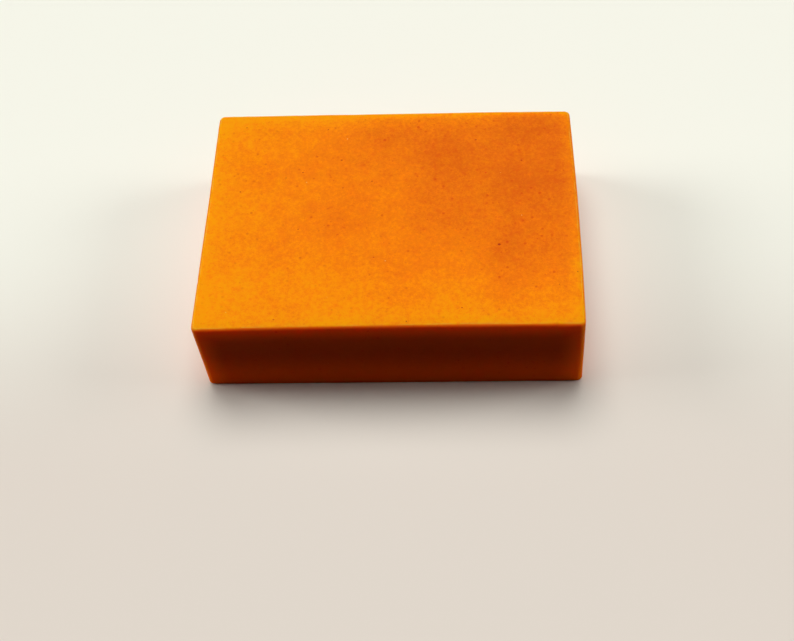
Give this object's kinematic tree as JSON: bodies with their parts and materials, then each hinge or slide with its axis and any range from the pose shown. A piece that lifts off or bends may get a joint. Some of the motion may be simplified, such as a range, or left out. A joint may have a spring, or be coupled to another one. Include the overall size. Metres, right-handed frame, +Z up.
{
  "type": "bar of soap",
  "caption": "Rectangular hand-cut bar of soap with slightly bowed sides and softly eased edges, for washing hands and body.",
  "frame": {"origin": "on the surface the bar lies on, under the middle of its outline", "axes": "+Z up through the thickness; +X along the long sides, to the right as seen from the front side; +Y from the front side to the back side"},
  "size_m": [0.081, 0.0612, 0.0205],
  "materials": {
    "soap": "satin"
  },
  "bodies": {
    "root": {"soap_bar": "soap"}
  },
  "joints": []
}
